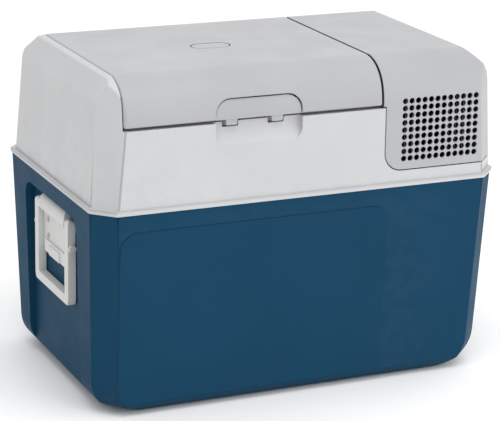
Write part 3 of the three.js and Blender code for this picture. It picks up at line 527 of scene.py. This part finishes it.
SLOT_OF = {part["node"]: part["material_slot"] for part in frame["record"]["subparts"]}
BODY_OF = {
    node: body for body, nodes in frame["record"]["behaviour"]["bodies"].items() for node in nodes
}


def finished(obj, node, slot=None, replaces=True):
    """Gives a new piece the material and body of the CAD node that it stands for or belongs to."""
    slot = slot or SLOT_OF[node]
    obj.data.materials.clear()
    obj.data.materials.append(MATERIALS[slot])
    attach(obj, BODY_OF[node])
    if replaces:
        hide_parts(node)
    return obj


# ---------------------------------------------------------------- tub

# The rear half gives the planes, because the front wall has the raised panel on it
TUB_PLANES = outer_planes("lower_housing", keep=lambda p: p.y > 10 * MM, mirrored=True)
TUB_EDGE = 6 * MM
(TUB_LEFT, _, TUB_LOW), (TUB_RIGHT, _, TUB_HIGH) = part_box("lower_housing")
PANEL = {  # the raised front panel: how far it stays from the sides of the tub's box, and its shape
    "left": 31 * MM, "right": 167 * MM, "bottom": 14 * MM, "top": 23.6 * MM,
    "lower_corner": 2 * MM, "upper_corner": 24 * MM, "proud": 1.2 * MM,
}


def make_tub():
    """The CAD tub with rounded edges, and the raised panel on its front laid over it."""
    tub = applied(bevelled(cad_copy("lower_housing", "tub_shell"), 0.9 * MM))
    combine(tub, rounded_form(open_above(moved(TUB_PLANES, SHAVE)), TUB_EDGE), "INTERSECT")
    proud = PANEL["proud"] - SHAVE
    panel = rounded_form(open_above(moved(TUB_PLANES, -proud)), TUB_EDGE)
    outline = rounded(
        TUB_LEFT + PANEL["left"], TUB_RIGHT - PANEL["right"],
        TUB_LOW + PANEL["bottom"], TUB_HIGH - PANEL["top"],
        PANEL["lower_corner"], PANEL["upper_corner"],
    )
    combine(panel, prism(outline, -FAR, 0, "Y"), "INTERSECT")
    cut(panel, as_object(core(open_above(moved(TUB_PLANES, MM))), "inner"))
    join(tub, panel)
    return shaded(cleaned(tub))


finished(make_tub(), "lower_housing")

# ---------------------------------------------------------------- upper housing, lid and cover

(_, _, FLANGE_LOW), (FLANGE_X, FLANGE_Y, _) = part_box("upper_housing")
FLANGE_TOP = FLANGE_LOW + 6 * MM
HOOD_EDGE = 4 * MM
SHELL_EDGE = 0.8 * MM


def above_flange(point):
    """Whether a CAD point belongs to the hood, and not to the flange round its foot."""
    inside = abs(point.x) < FLANGE_X - MM and abs(point.y) < FLANGE_Y - MM
    return inside and point.z > FLANGE_TOP - 0.5 * MM


HOOD_PLANES = outer_planes("upper_housing", "lid_shell", "compressor_cover", keep=above_flange)


def hood_form():
    """The rounded outer form that the housing, the lid and the cover share."""
    return rounded_form(open_below(moved(HOOD_PLANES, SHAVE)), HOOD_EDGE)


def make_housing():
    housing = applied(bevelled(cad_copy("upper_housing", "upper_housing_shell"), SHELL_EDGE))
    flange = prism(rectangle(-FAR, FAR, -FAR, FAR), -FAR, FLANGE_TOP - 0.1 * MM)
    form = join(hood_form(), flange)
    combine(housing, form, "INTERSECT")
    return shaded(cleaned(housing))


finished(make_housing(), "upper_housing")

LID_EDGE = 2.5 * MM
BADGE_RING = 1.9 * MM  # width of the black ring round the badge, painted shade for the groove it sits in


def pill(name, grow, bottom, top):
    """A solid with the badge's outline, larger by some distance all round."""
    (left, front, _), (right, rear, _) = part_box("lid_badge")
    radius = (rear - front) / 2 + grow
    outline = rounded(left - grow, right + grow, front - grow, rear + grow, radius, radius)
    solid = prism(outline, bottom, top)
    solid.name = name
    return solid


def make_lid():
    lid = applied(bevelled(cad_copy("lid_shell", "lid_top_shell"), SHELL_EDGE))
    combine(lid, hood_form(), "INTERSECT")
    edges = moved(outer_planes("lid_shell"), SHAVE)
    combine(lid, rounded_form(edges, LID_EDGE), "INTERSECT")
    cut(lid, pill("badge_pocket", BADGE_RING + SHAVE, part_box("lid_badge")[0].z - 0.6 * MM, FAR))
    return shaded(cleaned(lid))


finished(make_lid(), "lid_shell")
finished(softened(cad_copy("lid_latch", "latch_plate"), 1.1 * MM), "lid_latch")

(_, _, BADGE_LOW), (_, _, BADGE_HIGH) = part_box("lid_badge")


def make_badge_shade_ring():
    """A black ring that the badge sits in: painted shade for the groove round the badge."""
    seat = pill("badge_shade_ring", BADGE_RING, BADGE_LOW - 0.5 * MM, BADGE_HIGH - 0.2 * MM)
    cut(seat, pill("badge_place", SHAVE, BADGE_LOW - 0.05 * MM, FAR))
    return softened(seat, 0.1 * MM)


finished(softened(pill("badge_plate", 0, BADGE_LOW, BADGE_HIGH), 0.5 * MM), "lid_badge")
# The black ring paints the shade of the groove round the badge
finished(make_badge_shade_ring(), "lid_badge", "black_plastic", replaces=False)

(COVER_LEFT, _, _), (_, _, COVER_TOP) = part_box("compressor_cover")
COVER_WALL = 3 * MM
COVER_WELD = 0.06 * MM  # points this close on the cover are left over from cutting its holes in CAD
GRILLE = {"columns": 12, "rows": 9, "pitch": 9.56 * MM, "hole": 7.5 * MM, "sides": 20}
FIRST_X = COVER_LEFT + 31.3 * MM  # middles of the grille's leftmost and highest holes
FIRST_Z = COVER_TOP - 55.1 * MM
LAST_X = FIRST_X + (GRILLE["columns"] - 1) * GRILLE["pitch"]
LAST_Z = FIRST_Z - (GRILLE["rows"] - 1) * GRILLE["pitch"]
HOLE_PROFILE = (  # depth behind the cover's front, and how much wider than the hole
    (-2 * MM, 2.5 * MM), (0.5 * MM, 0), (8 * MM, 0),
)
UPRIGHT = -0.985  # how far forwards the normal of an upright face on the front points
RIM_ANGLE = math.radians(20)  # the front's border is sharp where it turns by more than this


def front_depth(planes, x, z):
    """Y of the hood's front face at a place on it."""
    return max((d - n.x * x - n.z * z) / n.y for n, d in planes if n.y < -0.5)


def grille_cutters():
    """Round holes with a small chamfer at the front, all in one object."""
    planes = moved(HOOD_PLANES, SHAVE)
    radius = GRILLE["hole"] / 2
    bm = bmesh.new()
    for column in range(GRILLE["columns"]):
        for row in range(GRILLE["rows"]):
            x = FIRST_X + column * GRILLE["pitch"]
            z = FIRST_Z - row * GRILLE["pitch"]
            face = front_depth(planes, x, z)
            add_rings(bm, [
                [(u, face + depth, v) for u, v in circle(x, z, radius + wider, GRILLE["sides"])]
                for depth, wider in HOLE_PROFILE
            ])
    return as_object(bm, "grille_holes")


def is_front(face):
    """Whether a face lies in the upright part of the cover's front, where the grille is."""
    return face.normal.y < UPRIGHT


def crisp_rims(obj):
    """Keeps the front flat in its shading round each hole."""
    bm = bmesh.new()
    bm.from_mesh(obj.data)
    bm.normal_update()
    for edge in bm.edges:
        fronts = [face for face in edge.link_faces if is_front(face)]
        edge.smooth = len(fronts) != 1 or edge.calc_face_angle(0) < RIM_ANGLE
    bm.to_mesh(obj.data)
    bm.free()


def make_cover():
    """The CAD cover with its holes filled, its edges rounded, and round holes cut again."""
    cover = cad_copy("compressor_cover", "bay_cover")
    reach = GRILLE["hole"]
    sheet = rectangle(FIRST_X - reach, LAST_X + reach, LAST_Z - reach, FIRST_Z + reach)
    blank = as_object(core(moved(HOOD_PLANES, -SHAVE)), "blank")
    combine(blank, prism(sheet, -FAR, 0, "Y"), "INTERSECT")
    cut(blank, as_object(core(moved(HOOD_PLANES, COVER_WALL - 2 * SHAVE)), "inside"))
    join(cover, blank)
    flush = as_object(core(open_below(moved(HOOD_PLANES, SHAVE / 2))), "flush")
    combine(cover, flush, "INTERSECT")
    applied(bevelled(cleaned(cover, weld=COVER_WELD), 0.7 * MM))
    combine(cover, hood_form(), "INTERSECT")
    cut(cover, grille_cutters())
    crisp_rims(cleaned(cover, spare=is_front))
    return shaded(cover, keep_sharp=True)


finished(make_cover(), "compressor_cover")

# Size and place of the black strip that paints shade into the gap beside the lid
SEAM = {"sunk": 0.9 * MM, "depth": 3 * MM, "thick": 1.1 * MM}


def make_seam_shade_strip():
    """A black strip on the cover's inner edge, sunk in the gap beside the lid: painted shade that darkens the gap.
    """
    strip = as_object(core(moved(HOOD_PLANES, SEAM["sunk"])), "seam_shade_strip")
    cut(strip, as_object(core(moved(HOOD_PLANES, SEAM["sunk"] + SEAM["depth"])), "inside"))
    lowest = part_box("lid_shell")[0].z
    region = rectangle(COVER_LEFT - SEAM["thick"], COVER_LEFT + SHAVE, lowest, FAR)
    combine(strip, prism(region, -FAR, FAR, "Y"), "INTERSECT")
    return softened(cleaned(strip), 0.2 * MM)


finished(make_seam_shade_strip(), "compressor_cover", "rubber_black", replaces=False)

# ---------------------------------------------------------------- lid underside

# The liner's plate starts a plug's height above the liner's lowest point
RIM = {
    "plug": 12.6 * MM, "thick": 2.6 * MM, "wall": 5.5 * MM, "gap": 0.4 * MM,
    "latch_side": 6.5 * MM, "corner_x": 8 * MM, "corner_y": 6.4 * MM,
}


def make_rims():
    """Closes the lid's underside in front of its liner, on both sides of the latch."""
    (left, liner_front, liner_low), (right, _, _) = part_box("lid_liner")
    (latch_left, _, _), (latch_right, _, _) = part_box("lid_latch")
    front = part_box("lid_shell")[0].y + RIM["wall"]
    rear = liner_front - RIM["gap"]
    bottom = liner_low + RIM["plug"]
    inner_left = latch_left - RIM["latch_side"]
    inner_right = latch_right + RIM["latch_side"]
    outlines = {
        "left": [
            (left + RIM["corner_x"], front), (inner_left, front), (inner_left, rear), (left, rear),
            (left, front + RIM["corner_y"]),
        ],
        "right": rectangle(inner_right, right, front, rear),
    }
    for side, outline in outlines.items():
        rim = prism(outline, bottom, bottom + RIM["thick"])
        rim.name = f"lid_rim_{side}"
        finished(softened(rim, 0.5 * MM), "lid_liner", replaces=False)


make_rims()

# ---------------------------------------------------------------- control panel marks

# The buttons are pressed straight into the sloping panel
PRESS = next(joint["axis"] for joint in frame["joints"] if joint["name"] == "button_power")
PANEL_NORMAL = -Vector(PRESS)
PANEL_TURN = Matrix((Y, PANEL_NORMAL.cross(Y), PANEL_NORMAL)).transposed()
MARK = {"sunk": 0.1 * MM, "proud": 0.12 * MM, "edge": 0.04 * MM}


def marks(name, node, strokes, slot):
    """Flat strokes on the face of a CAD part of the panel.

    Each is (left, right, bottom, top) in the panel's plane, in mm from the middle of the part."""
    low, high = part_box(node)
    middle = (low + high) / 2
    vertices = frame["nodes"][node].data.vertices
    face = max(PANEL_NORMAL.dot(v.co - middle) for v in vertices)
    bm = bmesh.new()
    for stroke in strokes:
        add_rings(bm, [
            [middle + PANEL_TURN @ Vector((u * MM, v * MM, w)) for u, v in rectangle(*stroke)]
            for w in (face - MARK["sunk"], face + MARK["proud"])
        ])
    obj = softened(as_object(bm, name), MARK["edge"])
    finished(obj, node, slot, replaces=False)


STROKES = {
    "minus": [(-2, 2, -0.35, 0.35)],
    "plus": [(-2, 2, -0.35, 0.35), (-0.35, 0.35, 0.35, 2), (-0.35, 0.35, -2, -0.35)],
    "power": [
        (-0.35, 0.35, 0.3, 2.6), (-2, -1.4, -1.6, 1.2), (1.4, 2, -1.6, 1.2), (-1.4, 1.4, -2, -1.4),
    ],
}
for button, strokes in STROKES.items():
    marks(f"mark_{button}", f"button_{button}", strokes, "black_plastic")

# Seven-segment digits: (left, right, bottom, top) of each segment in a 4 by 7 mm cell
SEGMENTS = {
    "a": (0.5, 3.5, 6.4, 7), "b": (3.4, 4, 3.9, 6.2), "c": (3.4, 4, 0.8, 3.1),
    "d": (0.5, 3.5, 0, 0.6), "e": (0, 0.6, 0.8, 3.1), "f": (0, 0.6, 3.9, 6.2),
    "g": (0.5, 3.5, 3.2, 3.8),
}


def digit(segments, u, v):
    """The strokes of a digit whose cell has its lower left corner at a place, in mm."""
    cells = (SEGMENTS[segment] for segment in segments)
    return [(left + u, right + u, bottom + v, top + v) for left, right, bottom, top in cells]


READING = digit("fgbc", -5, -3.5) + digit("adef", 3, -3.5)
marks("display_digits", "display_lens", READING, "light_lens")

# ---------------------------------------------------------------- handles

SIDES = ("left", "right")
SCREWS = [f"screw_{side}_{number}" for side in SIDES for number in (1, 2)]
for side in SIDES:
    bracket = softened(cad_copy(f"handle_bracket_{side}", f"bracket_{side}"), 0.8 * MM)
    finished(bracket, f"handle_bracket_{side}")
    handle = softened(cad_copy(f"handle_{side}", f"carry_handle_{side}"), 1.2 * MM)
    finished(handle, f"handle_{side}")

SCREW_SIDES = 24
SCREW_PROFILE = (  # share of the head's radius, and depth below its highest point
    (0.55, 0.15 * MM), (0.9, 0.6 * MM), (1, 1.1 * MM), (1, 2 * MM),
)
CROSS = {"half_width": 0.45 * MM, "half_length": 2 * MM, "depth": 1.3 * MM}


def make_screw(node, name):
    """A domed screw head with a cross recess, over the CAD screw."""
    low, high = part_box(node)
    outward = -1 if low.x < 0 else 1
    top = low.x if outward < 0 else high.x
    y, z = (low.y + high.y) / 2, (low.z + high.z) / 2
    radius = (high.z - low.z) / 2
    rings = [
        [(top - outward * depth, v, w) for v, w in circle(y, z, radius * share, SCREW_SIDES)]
        for share, depth in SCREW_PROFILE
    ]
    screw = ring_solid(rings, name)
    start, end = sorted((top + outward * MM, top - outward * CROSS["depth"]))
    width, length = CROSS["half_width"], CROSS["half_length"]
    for half_y, half_z in ((width, length), (length, width)):
        slot = rectangle(y - half_y, y + half_y, z - half_z, z + half_z)
        cut(screw, prism(slot, start, end, "X"))
    return softened(screw, 0.15 * MM)


for screw in SCREWS:
    finished(make_screw(f"handle_{screw}", f"cross_{screw}"), f"handle_{screw}")

# ---------------------------------------------------------------- parts that keep their CAD shape

SMALL = {"latch_spring", "latch_pin", "hinge_pin_left", "hinge_pin_right"}
PIPES = {"discharge_pipe", "liquid_pipe", "suction_pipe"}
REPLACED = {
    "lower_housing", "upper_housing", "lid_shell", "lid_latch", "lid_badge", "compressor_cover",
    *(f"handle_bracket_{side}" for side in SIDES),
    *(f"handle_{side}" for side in SIDES),
    *(f"handle_{screw}" for screw in SCREWS),
}


def carry_over(node):
    """Softens the edges of a CAD part by modifiers and gives it its material."""
    obj = frame["nodes"][node]
    weld = obj.modifiers.new("weld", "WELD")
    weld.merge_threshold = WELD
    if node not in PIPES:
        flat = obj.modifiers.new("flat", "DECIMATE")
        flat.decimate_type = "DISSOLVE"
        flat.angle_limit = FLAT_ANGLE
    softened(obj, 0.15 * MM if node in SMALL else 0.4 * MM)
    obj.data.materials.clear()
    obj.data.materials.append(MATERIALS[SLOT_OF[node]])


for node in frame["nodes"]:
    if node not in REPLACED:
        carry_over(node)

# ---------------------------------------------------------------- floor, light and camera

CAMERA = {
    "azimuth": 24.669, "elevation": 16.982, "roll": 1.286, "lens": 150.07,
    "target": (0.00003, -0.0061, 0.20488), "distance": 2.8412,
}
STUDIO = {"dark_end": (-1, 0.1, 0), "brightest": 1.38, "darkest": 0.78}
LAMPS = {
    "key": {"place": (-0.3, -0.7, 1.7), "size": (1.2, 0.9), "power": 7.5},
    "fill": {"place": (1.4, -1.4, 0.6), "size": (1.2, 1.0), "power": 6},
}
LAMP_TARGET = (0, 0, 0.25)


def make_floor():
    bm = bmesh.new()
    bmesh.ops.create_grid(bm, x_segments=1, y_segments=1, size=20)
    floor = as_object(bm, "floor")
    finish = Finish("floor_paint", specular=0.1)
    clouds = finish.ranged(finish.noise(0.5, 2), 0, 1)
    tone = finish.mixed(clouds, (0.96, 0.96, 0.96, 1), (0.98, 0.98, 0.98, 1))
    floor.data.materials.append(finish.done(tone, finish.ranged(finish.noise(0.3, 2), 0.65, 0.75)))


def area_light(name, place, size, power):
    data = bpy.data.lights.new(name, "AREA")
    data.shape = "RECTANGLE"
    data.size, data.size_y = size
    data.energy = power
    lamp = bpy.data.objects.new(name, data)
    lamp.location = place
    aim = Vector(LAMP_TARGET) - Vector(place)
    lamp.rotation_euler = aim.to_track_quat("-Z", "Y").to_euler()
    SCENE.collection.objects.link(lamp)


def make_world():
    """A white studio that is darker towards one end."""
    world = bpy.data.worlds.new("studio")
    world.use_nodes = True
    nodes, link = world.node_tree.nodes, world.node_tree.links.new
    background = nodes["Background"]
    background.inputs["Color"].default_value = (1, 1, 1, 1)
    direction = nodes.new("ShaderNodeTexCoord").outputs["Generated"]
    facing = nodes.new("ShaderNodeVectorMath")
    facing.operation = "DOT_PRODUCT"
    facing.inputs[1].default_value = STUDIO["dark_end"]
    shade = nodes.new("ShaderNodeMapRange")
    shade.inputs["From Min"].default_value = -1
    shade.inputs["From Max"].default_value = 1
    shade.inputs["To Min"].default_value = STUDIO["brightest"]
    shade.inputs["To Max"].default_value = STUDIO["darkest"]
    link(direction, facing.inputs[0])
    link(facing.outputs["Value"], shade.inputs["Value"])
    link(shade.outputs["Result"], background.inputs["Strength"])
    SCENE.world = world
    SCENE.view_settings.view_transform = "Standard"


def make_camera():
    """A camera turned round its target, with its own roll, as in the photograph."""
    azimuth, elevation, roll = (math.radians(CAMERA[k]) for k in ("azimuth", "elevation", "roll"))
    back = Vector((
        -math.sin(azimuth) * math.cos(elevation), -math.cos(azimuth) * math.cos(elevation),
        math.sin(elevation),
    ))
    level = Z.cross(back).normalized()
    upright = back.cross(level)
    right = math.cos(roll) * level + math.sin(roll) * upright
    data = bpy.data.cameras.new("camera")
    data.lens = CAMERA["lens"]
    data.sensor_width = 36
    camera = bpy.data.objects.new("camera", data)
    matrix = Matrix((right, back.cross(right), back)).transposed().to_4x4()
    matrix.translation = Vector(CAMERA["target"]) + CAMERA["distance"] * back
    camera.matrix_world = matrix
    SCENE.collection.objects.link(camera)
    SCENE.camera = camera


make_floor()
make_world()
for name, lamp in LAMPS.items():
    area_light(name, **lamp)
make_camera()
